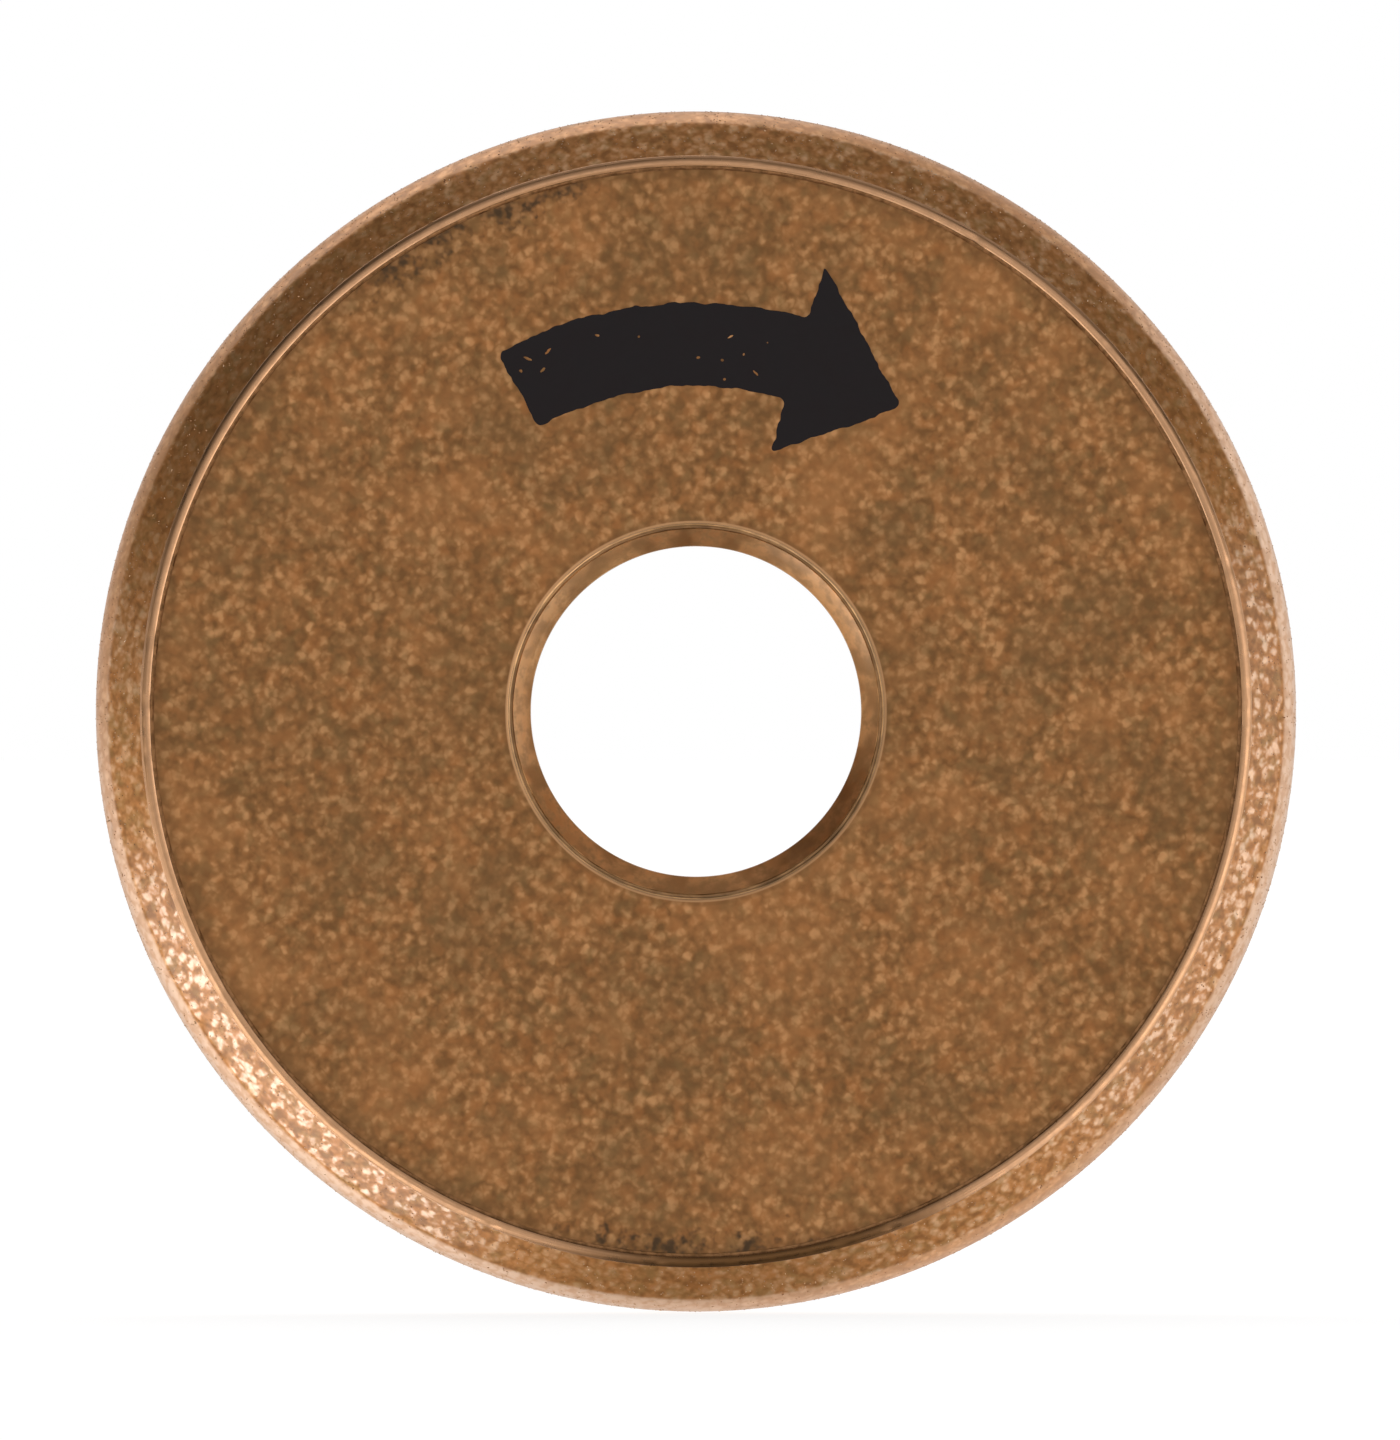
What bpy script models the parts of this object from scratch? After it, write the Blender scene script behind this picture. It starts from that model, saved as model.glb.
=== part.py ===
"""A metal-bond diamond grinding wheel, in metres, centred on the origin with its axis along Y.

Five turned pieces sit one inside the other: a reducing bush, a bronze core, a seam of braze, a
diamond-free backing ring and the diamond rim. Each is a cross-section of (radius, place) points,
where place is the distance along the axis, turned round the Y axis by a Screw modifier.
"""

import math

import bmesh
import bpy

MM = 0.001

# Driving dimensions
OUTER_DIAMETER = 80.0 * MM
OVERALL_WIDTH = 10.0 * MM
CORE_WIDTH = 9.6 * MM
CORE_BORE_DIAMETER = 25.0 * MM
BUSH_BORE_DIAMETER = 22.0 * MM
BUSH_LENGTH = 9.5 * MM

# Diamond rim: a conical bevel on each side, then a crown across the outside
BEVEL_OUTER_DIAMETER = 78.24 * MM
BEVEL_ANGLE = math.radians(45.0)
BACKING_OUTER_DIAMETER = 73.80 * MM
BACKING_THICKNESS = 0.62 * MM
CREST_RISE = 0.16 * MM

# The backing ring's tongue, which the rim is pressed round
TONGUE_HEIGHT = 0.8 * MM
TONGUE_WIDTH = 3.4 * MM
TONGUE_FLANK = 0.5 * MM

# The brazed joint between core and backing ring
BRAZE_THICKNESS = 0.14 * MM
BRAZE_SINK = 0.30 * MM

# Gaps between bonded neighbours, and the bush's running clearance
BOND_GAP = 0.02 * MM
PRESSED_GAP = 0.03 * MM
BUSH_CLEARANCE = 0.03 * MM

# Broken edges
CORE_OUTER_CHAMFER = 0.08 * MM
CORE_BORE_ROUND = 0.28 * MM
BUSH_EDGE_ROUND = 0.10 * MM
BUSH_LIP_WIDTH = 0.07 * MM
COUNTERSINK_ANGLE = math.radians(45.0)

# Facets round the axis, and points along the curved stretches of a section
SEGMENTS = 96
CROWN_STEPS = 5
CREST_STEPS = 4
ROUND_STEPS = 3
SHARP_ANGLE = math.radians(28.0)
MERGE_DISTANCE = 0.000001

# Where one piece ends and the next begins
BACKING_OUTER_RADIUS = BACKING_OUTER_DIAMETER / 2
BACKING_INNER_RADIUS = BACKING_OUTER_RADIUS - BACKING_THICKNESS
BRAZE_OUTER_RADIUS = BACKING_INNER_RADIUS - BOND_GAP
BRAZE_INNER_RADIUS = BRAZE_OUTER_RADIUS - BRAZE_THICKNESS
CORE_OUTER_RADIUS = BRAZE_INNER_RADIUS - BOND_GAP
RIM_INNER_RADIUS = BACKING_OUTER_RADIUS + PRESSED_GAP

BRONZE = (0.36, 0.19, 0.085)
POLISHED_BRONZE = (0.62, 0.36, 0.20)
GRIT_BRONZE = (0.45, 0.25, 0.13)
BRAZE_METAL = (0.16, 0.09, 0.045)
BUSH_BRONZE = (0.50, 0.24, 0.09)

COLLECTION_NAME = "diamond_grinding_wheel"


def clear_scene():
    for obj in list(bpy.data.objects):
        bpy.data.objects.remove(obj, do_unlink=True)


def metal(name, colour, roughness):
    material = bpy.data.materials.new(name)
    material.use_nodes = True
    shader = material.node_tree.nodes["Principled BSDF"]
    shader.inputs["Base Color"].default_value = (*colour, 1.0)
    shader.inputs["Roughness"].default_value = roughness
    shader.inputs["Metallic"].default_value = 1.0
    material.diffuse_color = (*colour, 1.0)
    return material


def arc(centre_radius, centre_place, radius, start, end, steps):
    """Points on a circle in the section's plane, where an angle of 0 points away from the axis."""
    angles = [start + (end - start) * step / steps for step in range(steps + 1)]
    return [
        (centre_radius + radius * math.cos(angle), centre_place + radius * math.sin(angle))
        for angle in angles
    ]


def both_halves(upper):
    """One side of a section from the top down: the points given, then their reflections."""
    return upper + [(radius, -place) for radius, place in reversed(upper) if place > 0]


def ring_section(outer_upper, inner_upper):
    """A section that is the same on both sides of the wheel.

    It goes down the outer side and back up the inner side, so that the turned ring faces outwards.
    """
    return both_halves(outer_upper) + both_halves(inner_upper)[::-1]


def turned(name, section, material, collection):
    """Turns a closed section round the Y axis, with smooth walls and sharp corners."""
    profile = bmesh.new()
    corners = [profile.verts.new((radius, place, 0.0)) for radius, place in section]
    for corner, following in zip(corners, corners[1:] + corners[:1]):
        profile.edges.new((corner, following))
    mesh = bpy.data.meshes.new(name)
    profile.to_mesh(mesh)
    profile.free()

    obj = bpy.data.objects.new(name, mesh)
    collection.objects.link(obj)
    screw = obj.modifiers.new("turn", "SCREW")
    screw.axis = "Y"
    screw.angle = math.tau
    screw.steps = SEGMENTS
    screw.render_steps = SEGMENTS
    screw.use_merge_vertices = True
    screw.merge_threshold = MERGE_DISTANCE

    graph = bpy.context.evaluated_depsgraph_get()
    obj.data = bpy.data.meshes.new_from_object(obj.evaluated_get(graph))
    obj.data.name = name
    obj.modifiers.clear()
    bpy.data.meshes.remove(mesh)
    obj.data.materials.append(material)
    obj.data.shade_smooth()
    obj.data.set_sharp_from_angle(angle=SHARP_ANGLE)
    return obj


def core_disc_section():
    """A flat disc with its outer edges just broken and its bore edges rounded."""
    face = CORE_WIDTH / 2
    bore = CORE_BORE_DIAMETER / 2
    outer = [
        (CORE_OUTER_RADIUS - CORE_OUTER_CHAMFER, face),
        (CORE_OUTER_RADIUS, face - CORE_OUTER_CHAMFER),
    ]
    inner = arc(
        bore + CORE_BORE_ROUND,
        face - CORE_BORE_ROUND,
        CORE_BORE_ROUND,
        math.pi / 2,
        math.pi,
        ROUND_STEPS,
    )
    return ring_section(outer, inner)


def braze_seam_section():
    """A thin tube whose ends stay below the core's faces."""
    end = CORE_WIDTH / 2 - BRAZE_SINK
    return ring_section([(BRAZE_OUTER_RADIUS, end)], [(BRAZE_INNER_RADIUS, end)])


def backing_ring_section():
    """A ring with a rounded crest on each side and a tongue round its outside."""
    half_thickness = BACKING_THICKNESS / 2
    middle = BACKING_OUTER_RADIUS - half_thickness
    crest_radius = (half_thickness**2 + CREST_RISE**2) / (2 * CREST_RISE)
    crest_centre = OVERALL_WIDTH / 2 - crest_radius
    half_span = math.asin(half_thickness / crest_radius)
    top = math.pi / 2
    to_outside = arc(middle, crest_centre, crest_radius, top, top - half_span, CREST_STEPS)
    to_inside = arc(middle, crest_centre, crest_radius, top, top + half_span, CREST_STEPS)
    tongue = [
        (BACKING_OUTER_RADIUS, TONGUE_WIDTH / 2 + TONGUE_FLANK),
        (BACKING_OUTER_RADIUS + TONGUE_HEIGHT, TONGUE_WIDTH / 2),
    ]
    return ring_section(to_outside + tongue, to_inside[1:])


def diamond_rim_section():
    """Bevels from the backing ring's shoulder outwards, a crown between them, a groove inside."""
    shoulder = OVERALL_WIDTH / 2 - CREST_RISE
    bevel_outer_radius = BEVEL_OUTER_DIAMETER / 2
    bevel_depth = (bevel_outer_radius - RIM_INNER_RADIUS) / math.tan(BEVEL_ANGLE)
    crown_edge = shoulder - bevel_depth
    crown_rise = OUTER_DIAMETER / 2 - bevel_outer_radius
    crown_radius = (crown_edge**2 + crown_rise**2) / (2 * crown_rise)
    crown_centre = OUTER_DIAMETER / 2 - crown_radius
    crown_angle = math.asin(crown_edge / crown_radius)
    crown = arc(crown_centre, 0.0, crown_radius, crown_angle, 0.0, CROWN_STEPS)
    groove = [
        (RIM_INNER_RADIUS, TONGUE_WIDTH / 2 + TONGUE_FLANK + PRESSED_GAP),
        (RIM_INNER_RADIUS + TONGUE_HEIGHT, TONGUE_WIDTH / 2 + PRESSED_GAP),
    ]
    return ring_section([(RIM_INNER_RADIUS, shoulder)] + crown, groove)


def reducing_bush_section():
    """A plain bush with rounded outer edges, a narrow lip and a countersink at each end."""
    end = BUSH_LENGTH / 2
    outside = CORE_BORE_DIAMETER / 2 - BUSH_CLEARANCE
    bore = BUSH_BORE_DIAMETER / 2
    outer = arc(
        outside - BUSH_EDGE_ROUND,
        end - BUSH_EDGE_ROUND,
        BUSH_EDGE_ROUND,
        math.pi / 2,
        0.0,
        ROUND_STEPS,
    )
    mouth = outside - BUSH_EDGE_ROUND - BUSH_LIP_WIDTH
    countersink_depth = (mouth - bore) / math.tan(COUNTERSINK_ANGLE)
    inner = [(mouth, end), (bore, end - countersink_depth)]
    return ring_section(outer, inner)


def main():
    clear_scene()
    collection = bpy.data.collections.new(COLLECTION_NAME)
    bpy.context.scene.collection.children.link(collection)

    wheel = bpy.data.objects.new("wheel_centre", None)
    collection.objects.link(wheel)
    pieces = [
        turned("core_disc", core_disc_section(), metal("core_bronze", BRONZE, 0.42), collection),
        turned("braze_seam", braze_seam_section(), metal("braze", BRAZE_METAL, 0.6), collection),
        turned(
            "backing_ring",
            backing_ring_section(),
            metal("polished_bronze", POLISHED_BRONZE, 0.25),
            collection,
        ),
        turned(
            "diamond_rim",
            diamond_rim_section(),
            metal("diamond_bond", GRIT_BRONZE, 0.45),
            collection,
        ),
        turned(
            "reducing_bush",
            reducing_bush_section(),
            metal("bush_bronze", BUSH_BRONZE, 0.35),
            collection,
        ),
    ]
    for piece in pieces:
        piece.parent = wheel


main()
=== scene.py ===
"""The looks of a bronze-bond diamond grinding wheel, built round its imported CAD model.

The wheel stands upright with its axis along Y and its printed face towards -Y. Every turned piece
is replaced by a finer one with worn edges and a grained surface, and diamond grit stands out of
the rim. Lengths are in metres, and MM turns millimetres into metres.
"""

import math
import random

import bpy
import numpy as np
from mathutils import Euler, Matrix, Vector, noise


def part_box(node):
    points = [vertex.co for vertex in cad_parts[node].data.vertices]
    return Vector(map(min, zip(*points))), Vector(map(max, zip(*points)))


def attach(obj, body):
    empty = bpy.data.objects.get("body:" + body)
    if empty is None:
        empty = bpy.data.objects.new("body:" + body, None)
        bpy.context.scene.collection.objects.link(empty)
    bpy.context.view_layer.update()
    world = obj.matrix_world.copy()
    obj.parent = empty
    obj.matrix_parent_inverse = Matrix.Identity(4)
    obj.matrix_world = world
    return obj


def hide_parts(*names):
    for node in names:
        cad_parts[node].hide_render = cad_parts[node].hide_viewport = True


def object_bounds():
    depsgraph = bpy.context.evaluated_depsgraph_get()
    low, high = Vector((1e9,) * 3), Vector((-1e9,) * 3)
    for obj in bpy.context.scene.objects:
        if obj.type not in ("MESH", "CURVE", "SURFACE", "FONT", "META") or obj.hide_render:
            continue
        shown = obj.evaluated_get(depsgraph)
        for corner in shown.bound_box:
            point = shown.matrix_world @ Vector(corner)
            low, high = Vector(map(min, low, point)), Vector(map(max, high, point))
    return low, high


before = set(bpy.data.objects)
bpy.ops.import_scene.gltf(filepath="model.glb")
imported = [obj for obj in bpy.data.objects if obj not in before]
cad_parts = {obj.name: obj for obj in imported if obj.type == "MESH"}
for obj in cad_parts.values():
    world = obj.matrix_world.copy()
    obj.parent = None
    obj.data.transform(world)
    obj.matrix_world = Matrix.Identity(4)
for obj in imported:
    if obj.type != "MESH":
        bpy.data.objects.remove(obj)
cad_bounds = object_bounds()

MM = 0.001
TAU = math.tau
SEED = 20


# ---------------------------------------------------------------- sizes read from the CAD model


def radii(node):
    """The smallest and largest distance of a CAD node's points from the wheel's axis."""
    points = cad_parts[node].data.vertices
    distances = [math.hypot(point.co.x, point.co.z) for point in points]
    return min(distances), max(distances)


def half_width(node):
    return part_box(node)[1].y


CORE_BORE, CORE_OUTER = radii("core_disc")
CORE_FACE = half_width("core_disc")
CREST_TOP = half_width("backing_ring")
BACKING_INNER = radii("backing_ring")[0]
BRAZE_END = half_width("braze_seam")
RIM_INNER, RIM_OUTER = radii("diamond_rim")
RIM_SHOULDER = half_width("diamond_rim")
BUSH_BORE, BUSH_OUTER = radii("reducing_bush")
BUSH_END = half_width("reducing_bush")

# The bevels end at this share of the wheel's radius
BEVEL_SHARE = 0.978
BEVEL_OUTER = BEVEL_SHARE * RIM_OUTER

# Pits and dirt set in between these two radii, on the way out to the rim
GRIME_START, GRIME_FULL = 0.80 * RIM_OUTER, 0.90 * RIM_OUTER

# How far the tips of the diamonds stand above the bond
GRIT_STAND = 0.05 * MM

# Where one larger nick breaks the crown
NICK_ANGLE = math.radians(191.0)

# Bonded neighbours run into each other by this much, so that no slit shows between them
WETTED = 0.02 * MM

# Facets round the axis
CORE_SEGMENTS = 512
SEAM_SEGMENTS = 720
RIM_SEGMENTS = 900
BUSH_SEGMENTS = 384


# ---------------------------------------------------------------- turned pieces


def line(start, end, steps):
    """Points from start up to, but not including, end."""
    return [
        (start[0] + (end[0] - start[0]) * i / steps, start[1] + (end[1] - start[1]) * i / steps)
        for i in range(steps)
    ]


def arc(centre, radius, start, end, steps):
    """Points along an arc of the section, from start up to, but not including, end."""
    angles = [math.radians(start + (end - start) * i / steps) for i in range(steps)]
    return [(centre[0] + radius * math.cos(a), centre[1] + radius * math.sin(a)) for a in angles]


def rounded_end(inside, outside, top, inner_slope, outer_slope, steps):
    """An arc over the end of a ring, from its outside in, with the slopes it ends in, in degrees.

    Returns its points and the places where it meets the outside and the inside.
    """
    inner_angle, outer_angle = math.radians(inner_slope), math.radians(outer_slope)
    radius = (outside - inside) / (math.sin(inner_angle) + math.sin(outer_angle))
    centre = (inside + radius * math.sin(inner_angle), top - radius)
    points = arc(centre, radius, 90.0 - outer_slope, 90.0 + inner_slope, steps)
    outer_edge = centre[1] + radius * math.cos(outer_angle)
    inner_edge = centre[1] + radius * math.cos(inner_angle)
    return points, outer_edge, inner_edge


def both_halves(upper):
    """A section whose lower half mirrors its upper half. Upper starts and ends at the middle."""
    return upper + [(radius, -place) for radius, place in reversed(upper) if place > 0]


def runs_anticlockwise(section):
    points = np.array(section)
    following = np.roll(points, -1, axis=0)
    return np.sum(points[:, 0] * following[:, 1] - following[:, 0] * points[:, 1]) > 0


def section_normals(section):
    """The direction that faces out of the piece at each point of a closed section."""
    points = np.array(section)
    along = np.roll(points, -1, axis=0) - np.roll(points, 1, axis=0)
    along /= np.linalg.norm(along, axis=1)[:, None]
    normals = np.stack([along[:, 1], -along[:, 0]], axis=1)
    return normals if runs_anticlockwise(section) else -normals


def revolve(name, section, segments, relief):
    """Turns a closed section round the Y axis and moves each point out by relief(points).

    relief takes the turned points as a (section, segment, 3) array and returns distances.
    """
    profile = np.array(section)
    count = len(profile)
    angles = np.arange(segments) * TAU / segments
    turn = np.stack([np.cos(angles), np.sin(angles)], axis=1)
    points = np.empty((count, segments, 3))
    points[:, :, 0] = profile[:, 0, None] * turn[:, 0]
    points[:, :, 1] = profile[:, 1, None]
    points[:, :, 2] = profile[:, 0, None] * turn[:, 1]

    flat = section_normals(section)
    outward = np.empty_like(points)
    outward[:, :, 0] = flat[:, 0, None] * turn[:, 0]
    outward[:, :, 1] = flat[:, 1, None]
    outward[:, :, 2] = flat[:, 0, None] * turn[:, 1]
    points += outward * relief(points)[:, :, None]

    i, j = np.meshgrid(np.arange(count), np.arange(segments), indexing="ij")
    ahead, round_next = (i + 1) % count, (j + 1) % segments
    faces = np.stack(
        [
            i * segments + j,
            i * segments + round_next,
            ahead * segments + round_next,
            ahead * segments + j,
        ],
        axis=2,
    ).reshape(-1, 4)
    if runs_anticlockwise(section):
        faces = faces[:, ::-1]
    return mesh_object(name, points.reshape(-1, 3), faces)


def mesh_object(name, points, faces):
    mesh = bpy.data.meshes.new(name)
    mesh.from_pydata(points.tolist(), [], faces.tolist())
    mesh.validate()
    obj = bpy.data.objects.new(name, mesh)
    bpy.context.scene.collection.objects.link(obj)
    return obj


def smooth(obj, sharp_above):
    obj.data.shade_smooth()
    obj.data.set_sharp_from_angle(angle=math.radians(sharp_above))


# ---------------------------------------------------------------- surface relief

# Noise is read in axes turned by this much, so that its lattice does not show on the flat faces
SKEW = (0.61, 0.38, 0.93)


def grain(points, size, seed):
    """Smooth noise from -1 to 1 whose lumps are about size across."""
    shift = Vector((seed * 3.1, seed * 7.7, seed * 1.3))
    flat = points.reshape(-1, 3) @ np.array(Euler(SKEW).to_matrix()).T / size
    values = [noise.noise(Vector(point) + shift) for point in flat]
    return np.array(values).reshape(points.shape[:-1])


def smoothstep(low, high, values):
    share = np.clip((values - low) / (high - low), 0.0, 1.0)
    return share * share * (3.0 - 2.0 * share)


def dents(points, centres, sizes, depths):
    """Round hollows: how far each point sinks."""
    sunk = np.zeros(points.shape[:-1])
    for centre, size, depth in zip(centres, sizes, depths):
        distance = np.linalg.norm(points - np.array(centre), axis=-1)
        sunk = np.maximum(sunk, depth * np.exp(-((distance / size) ** 2)))
    return sunk


def ring_places(rng, count, radius, place):
    """Random places round a circle of the wheel."""
    angles = [rng.uniform(0.0, TAU) for _ in range(count)]
    return [(radius * math.cos(a), place, radius * math.sin(a)) for a in angles]


def core_relief(points):
    """Slight waves and a fine grain on the faces, with corrosion pits near the rim."""
    radius = np.hypot(points[..., 0], points[..., 2])
    on_face = smoothstep(CORE_FACE - 0.05 * MM, CORE_FACE, np.abs(points[..., 1]))
    waves = 0.010 * MM * grain(points, 9.0 * MM, 1)
    fine = 0.004 * MM * grain(points, 1.3 * MM, 2)
    near_rim = smoothstep(GRIME_START, GRIME_FULL, radius)
    pits = smoothstep(0.35, 0.6, grain(points, 0.9 * MM, 3)) * near_rim * 0.03 * MM
    return on_face * (waves + fine - pits)


def core_body():
    """The disc: two flat faces, eased bore edges and lightly broken outer edges."""
    chamfer = 0.08 * MM
    eased_width, steepest = 0.19 * MM, 13.0
    eased_radius = eased_width / math.sin(math.radians(steepest))
    centre = (CORE_BORE + eased_width, CORE_FACE - eased_radius)
    bore_edge = centre[1] + eased_radius * math.cos(math.radians(steepest))
    upper = line((CORE_OUTER, 0.0), (CORE_OUTER, CORE_FACE - chamfer), 3)
    upper += line((CORE_OUTER, CORE_FACE - chamfer), (CORE_OUTER - chamfer, CORE_FACE), 1)
    upper += line((CORE_OUTER - chamfer, CORE_FACE), (CORE_BORE + eased_width, CORE_FACE), 58)
    upper += arc(centre, eased_radius, 90.0, 90.0 + steepest, 7)
    upper += line((CORE_BORE, bore_edge), (CORE_BORE, 0.0), 3)
    upper.append((CORE_BORE, 0.0))
    obj = revolve("core_body", both_halves(upper), CORE_SEGMENTS, core_relief)
    smooth(obj, 35.0)
    return obj


def crest_relief(points):
    """Turning leaves the crest a little uneven, and handling leaves small nicks in it."""
    rng = random.Random(SEED + 1)
    uneven = 0.006 * MM * grain(points, 2.0 * MM, 4)
    nicks = np.zeros(points.shape[:-1])
    for side in (-1, 1):
        centres = ring_places(rng, 26, BACKING_INNER + 0.3 * MM, side * CREST_TOP)
        sizes = [rng.uniform(0.12, 0.4) * MM for _ in centres]
        depths = [rng.uniform(0.02, 0.07) * MM for _ in centres]
        nicks = np.maximum(nicks, dents(points, centres, sizes, depths))
    return np.minimum(uneven, 0.0) - nicks


def crest_ring():
    """The backing ring, whose ends are rounded crests that lean towards the rim."""
    outside = RIM_INNER + WETTED
    crest, outer_edge, inner_edge = rounded_end(BACKING_INNER, outside, CREST_TOP, 20.0, 45.0, 16)
    upper = line((outside, 0.0), (outside, outer_edge), 3)
    upper += crest
    upper += line((BACKING_INNER, inner_edge), (BACKING_INNER, 0.0), 5)
    upper.append((BACKING_INNER, 0.0))
    obj = revolve("crest_ring", both_halves(upper), SEAM_SEGMENTS, crest_relief)
    smooth(obj, 50.0)
    return obj


def braze_relief(points):
    """Braze freezes a little higher here and lower there, with a few pinholes in it."""
    on_end = smoothstep(BRAZE_END, BRAZE_END + 0.1 * MM, np.abs(points[..., 1]))
    uneven = 0.02 * MM * grain(points, 1.1 * MM, 8)
    pinholes = smoothstep(0.35, 0.6, grain(points, 0.6 * MM, 9)) * 0.06 * MM
    return on_end * (uneven - pinholes)


def braze_fillet():
    """The seam of braze, drawn up the walls beside it into a hollow fillet at each end."""
    inside, outside = CORE_OUTER - 3 * WETTED, BACKING_INNER + WETTED
    lowest = CORE_FACE - 0.05 * MM
    inner_top = CORE_FACE - 0.02 * MM
    outer_top = CORE_FACE + 0.06 * MM
    steps = 8
    upper = line((outside, 0.0), (outside, outer_top), 3)
    for i in range(steps):
        share = i / steps
        straight = outer_top + (inner_top - outer_top) * share
        dip = (straight - lowest) * 4.0 * share * (1.0 - share)
        upper.append((outside + (inside - outside) * share, straight - dip))
    upper += line((inside, inner_top), (inside, 0.0), 3)
    upper.append((inside, 0.0))
    obj = revolve("braze_fillet", both_halves(upper), SEAM_SEGMENTS, braze_relief)
    smooth(obj, 50.0)
    return obj


def crown_circle():
    """The circle that the grit's tips follow between the bevels: centre and radius."""
    edge = RIM_SHOULDER - (BEVEL_OUTER - RIM_INNER)
    rise = RIM_OUTER - BEVEL_OUTER
    radius = (edge**2 + rise**2) / (2 * rise)
    return (RIM_OUTER - radius, 0.0), radius, math.degrees(math.asin(edge / radius)), edge


def bond_corner():
    """Where the bond's bevel meets its crown, GRIT_STAND below the grit's tips."""
    centre, radius, _, _ = crown_circle()
    bevel_sum = RIM_INNER + RIM_SHOULDER - GRIT_STAND * math.sqrt(2.0) - centre[0]
    rise = (bevel_sum + math.sqrt(2.0 * (radius - GRIT_STAND) ** 2 - bevel_sum**2)) / 2
    return centre[0] + rise, bevel_sum - rise


def rim_relief(points):
    """The worn bond: lumpy, and chipped along its corners."""
    rng = random.Random(SEED + 2)
    corner_radius, corner_place = bond_corner()
    radius = np.hypot(points[..., 0], points[..., 2])
    worn = 1.0 - 0.7 * smoothstep(corner_radius, corner_radius + 0.1 * MM, radius)
    lumps = 0.008 * MM * grain(points, 0.55 * MM, 5) + 0.008 * MM * grain(points, 1.7 * MM, 6)
    chips = np.zeros(points.shape[:-1])
    for side in (-1, 1):
        centres = ring_places(rng, 44, corner_radius, side * corner_place)
        sizes = [rng.uniform(0.15, 0.5) * MM for _ in centres]
        depths = [rng.uniform(0.02, 0.08) * MM for _ in centres]
        chips = np.maximum(chips, dents(points, centres, sizes, depths))
    across, up = RIM_OUTER * math.cos(NICK_ANGLE), RIM_OUTER * math.sin(NICK_ANGLE)
    nick = dents(points, [(across, -0.5 * corner_place, up)], [0.45 * MM], [0.16 * MM])
    chips = np.maximum(chips, nick)
    outside = smoothstep(RIM_INNER + 0.02 * MM, RIM_INNER + 0.3 * MM, radius)
    return outside * (worn * lumps - chips)


def rim_section():
    centre, radius, _, _ = crown_circle()
    corner = bond_corner()
    corner_angle = math.degrees(math.atan2(corner[1], corner[0] - centre[0]))
    shoulder = (RIM_INNER, RIM_SHOULDER - GRIT_STAND * math.sqrt(2.0))
    upper = arc(centre, radius - GRIT_STAND, 0.0, corner_angle, 11)
    upper += line(corner, shoulder, 12)
    upper += line(shoulder, (RIM_INNER, 0.0), 5)
    upper.append((RIM_INNER, 0.0))
    return both_halves(upper)


def abrasive_rim():
    obj = revolve("abrasive_rim", rim_section(), RIM_SEGMENTS, rim_relief)
    smooth(obj, 60.0)
    return obj


def bush_relief(points):
    """Fine turning marks, close together along the axis and all the way round."""
    place = points[..., 1] / MM
    radius = np.hypot(points[..., 0], points[..., 2]) / MM
    marks = np.sin(place * 31.0) * np.sin(place * 12.7 + 1.0) + 0.5 * np.sin(radius * 43.0)
    dinged = 0.004 * MM * grain(points, 0.8 * MM, 7)
    return np.minimum(0.003 * MM * marks + dinged, 0.0)


BUSH_MOUTH = BUSH_OUTER - 0.33 * MM
LIP_INNER = BUSH_OUTER - 0.09 * MM


def bore_bush():
    """The bush: a rounded lip, a fine tool groove and a countersink at each end."""
    outside = BUSH_OUTER + 0.015 * MM
    lip, lip_outer_edge, lip_inner_edge = rounded_end(LIP_INNER, outside, BUSH_END, 35.0, 8.0, 8)
    groove_place, mouth_place = BUSH_END - 0.17 * MM, BUSH_END - 0.11 * MM
    sink = mouth_place - (BUSH_MOUTH - BUSH_BORE)
    upper = line((outside, 0.0), (outside, lip_outer_edge), 18)
    upper += lip
    upper.append((LIP_INNER, lip_inner_edge))
    upper.append((LIP_INNER - 0.03 * MM, groove_place))
    upper.append((BUSH_MOUTH + 0.07 * MM, groove_place))
    upper += line((BUSH_MOUTH, mouth_place), (BUSH_BORE, sink), 14)
    upper += line((BUSH_BORE, sink), (BUSH_BORE, 0.0), 18)
    upper.append((BUSH_BORE, 0.0))
    obj = revolve("bore_bush", both_halves(upper), BUSH_SEGMENTS, bush_relief)
    smooth(obj, 35.0)
    return obj


# ---------------------------------------------------------------- diamond grit

OCTAHEDRON = np.array(
    [(1, 0, 0), (-1, 0, 0), (0, 1, 0), (0, -1, 0), (0, 0, 1), (0, 0, -1)], float
)
OCTAHEDRON_FACES = np.array(
    [(0, 2, 4), (2, 1, 4), (1, 3, 4), (3, 0, 4), (2, 0, 5), (1, 2, 5), (3, 1, 5), (0, 3, 5)]
)
CRYSTALS_PER_SQUARE_MM = 3.2


def rotations(rng, count):
    """Random turns, as an array of matrices."""
    quaternions = rng.normal(size=(count, 4))
    quaternions /= np.linalg.norm(quaternions, axis=1)[:, None]
    w, x, y, z = quaternions.T
    rows = [
        [1 - 2 * (y * y + z * z), 2 * (x * y - z * w), 2 * (x * z + y * w)],
        [2 * (x * y + z * w), 1 - 2 * (x * x + z * z), 2 * (y * z - x * w)],
        [2 * (x * z - y * w), 2 * (y * z + x * w), 1 - 2 * (x * x + y * y)],
    ]
    return np.moveaxis(np.array(rows), 2, 0)


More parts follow.
